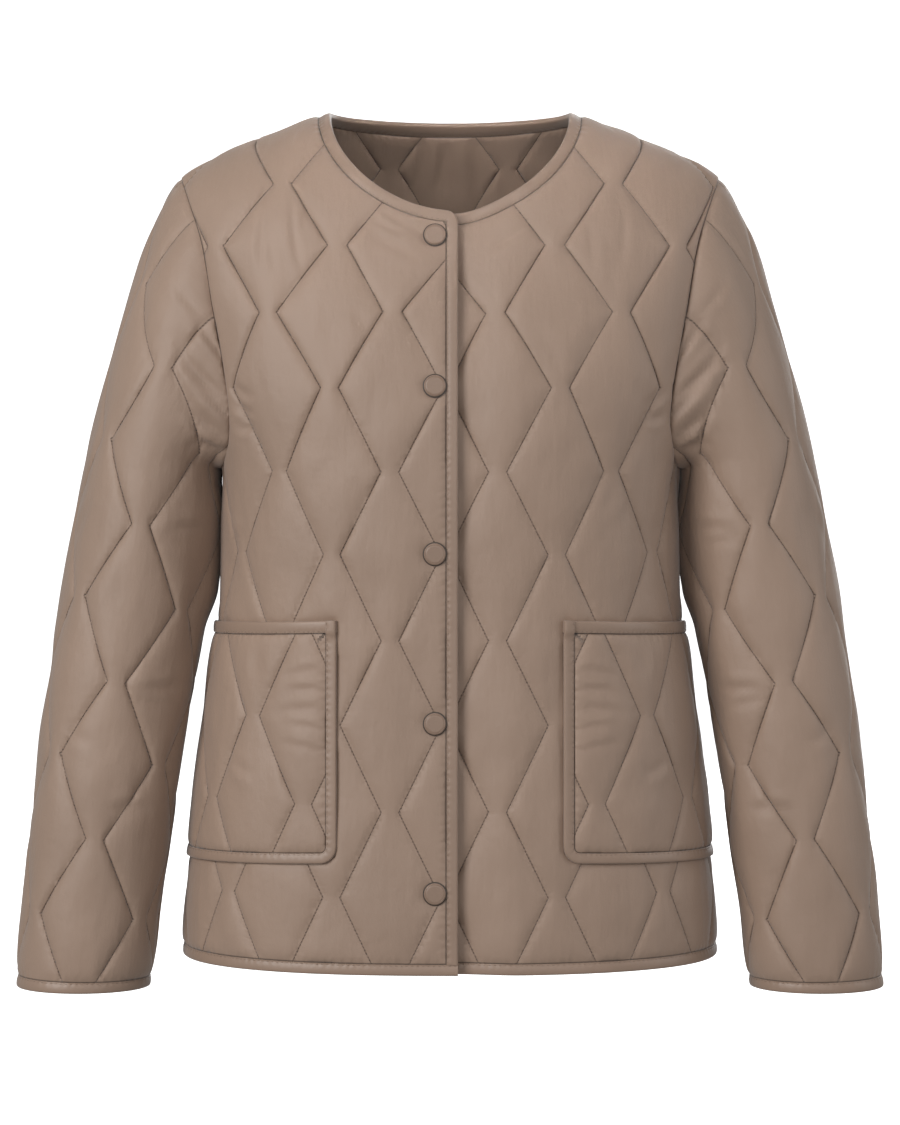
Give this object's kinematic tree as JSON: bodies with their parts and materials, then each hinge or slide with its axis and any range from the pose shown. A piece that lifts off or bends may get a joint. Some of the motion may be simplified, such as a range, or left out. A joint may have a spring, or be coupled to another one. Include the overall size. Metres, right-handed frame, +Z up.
{
  "type": "quilted coat",
  "caption": "Short collarless quilted coat with a bound round neck, snap front, set-in sleeves and patch pockets, filled out as if worn and hollow inside.",
  "frame": {"origin": "on the middle line, level with the neck ends of the shoulder seams, in the plane of the side seams", "axes": "+X towards the wearer's left, +Y towards the wearer's back, +Z up"},
  "size_m": [0.621, 0.2561, 0.6245],
  "materials": {
    "front_right": "taupe quilted nylon over light padding, satin",
    "front_left": "taupe quilted nylon over light padding, satin",
    "back": "taupe quilted nylon over light padding, satin",
    "sleeve_right": "taupe quilted nylon over light padding, satin",
    "sleeve_left": "taupe quilted nylon over light padding, satin",
    "pocket_right": "taupe quilted nylon over light padding, satin",
    "pocket_left": "taupe quilted nylon over light padding, satin",
    "pocket_top_binding_right": "taupe woven nylon binding, flat, satin",
    "pocket_top_binding_left": "taupe woven nylon binding, flat, satin",
    "pocket_edge_binding_right": "taupe woven nylon binding, flat, satin",
    "pocket_edge_binding_left": "taupe woven nylon binding, flat, satin",
    "neck_binding": "taupe woven nylon binding, flat, satin",
    "front_edge_binding_right": "taupe woven nylon binding, flat, satin",
    "front_edge_binding_left": "taupe woven nylon binding, flat, satin",
    "hem_binding": "taupe woven nylon binding, flat, satin",
    "cuff_binding_right": "taupe woven nylon binding, flat, satin",
    "cuff_binding_left": "taupe woven nylon binding, flat, satin",
    "snap_1": "moulded cap in the coat's taupe, satin",
    "snap_2": "moulded cap in the coat's taupe, satin",
    "snap_3": "moulded cap in the coat's taupe, satin",
    "snap_4": "moulded cap in the coat's taupe, satin",
    "snap_5": "moulded cap in the coat's taupe, satin"
  },
  "bodies": {
    "root": {"front_right": "front_right", "front_left": "front_left", "back": "back", "sleeve_right": "sleeve_right", "sleeve_left": "sleeve_left", "pocket_right": "pocket_right", "pocket_left": "pocket_left", "pocket_top_binding_right": "pocket_top_binding_right", "pocket_top_binding_left": "pocket_top_binding_left", "pocket_edge_binding_right": "pocket_edge_binding_right", "pocket_edge_binding_left": "pocket_edge_binding_left", "neck_binding": "neck_binding", "front_edge_binding_right": "front_edge_binding_right", "front_edge_binding_left": "front_edge_binding_left", "hem_binding": "hem_binding", "cuff_binding_right": "cuff_binding_right", "cuff_binding_left": "cuff_binding_left", "snap_1": "snap_1", "snap_2": "snap_2", "snap_3": "snap_3", "snap_4": "snap_4", "snap_5": "snap_5"}
  },
  "joints": []
}
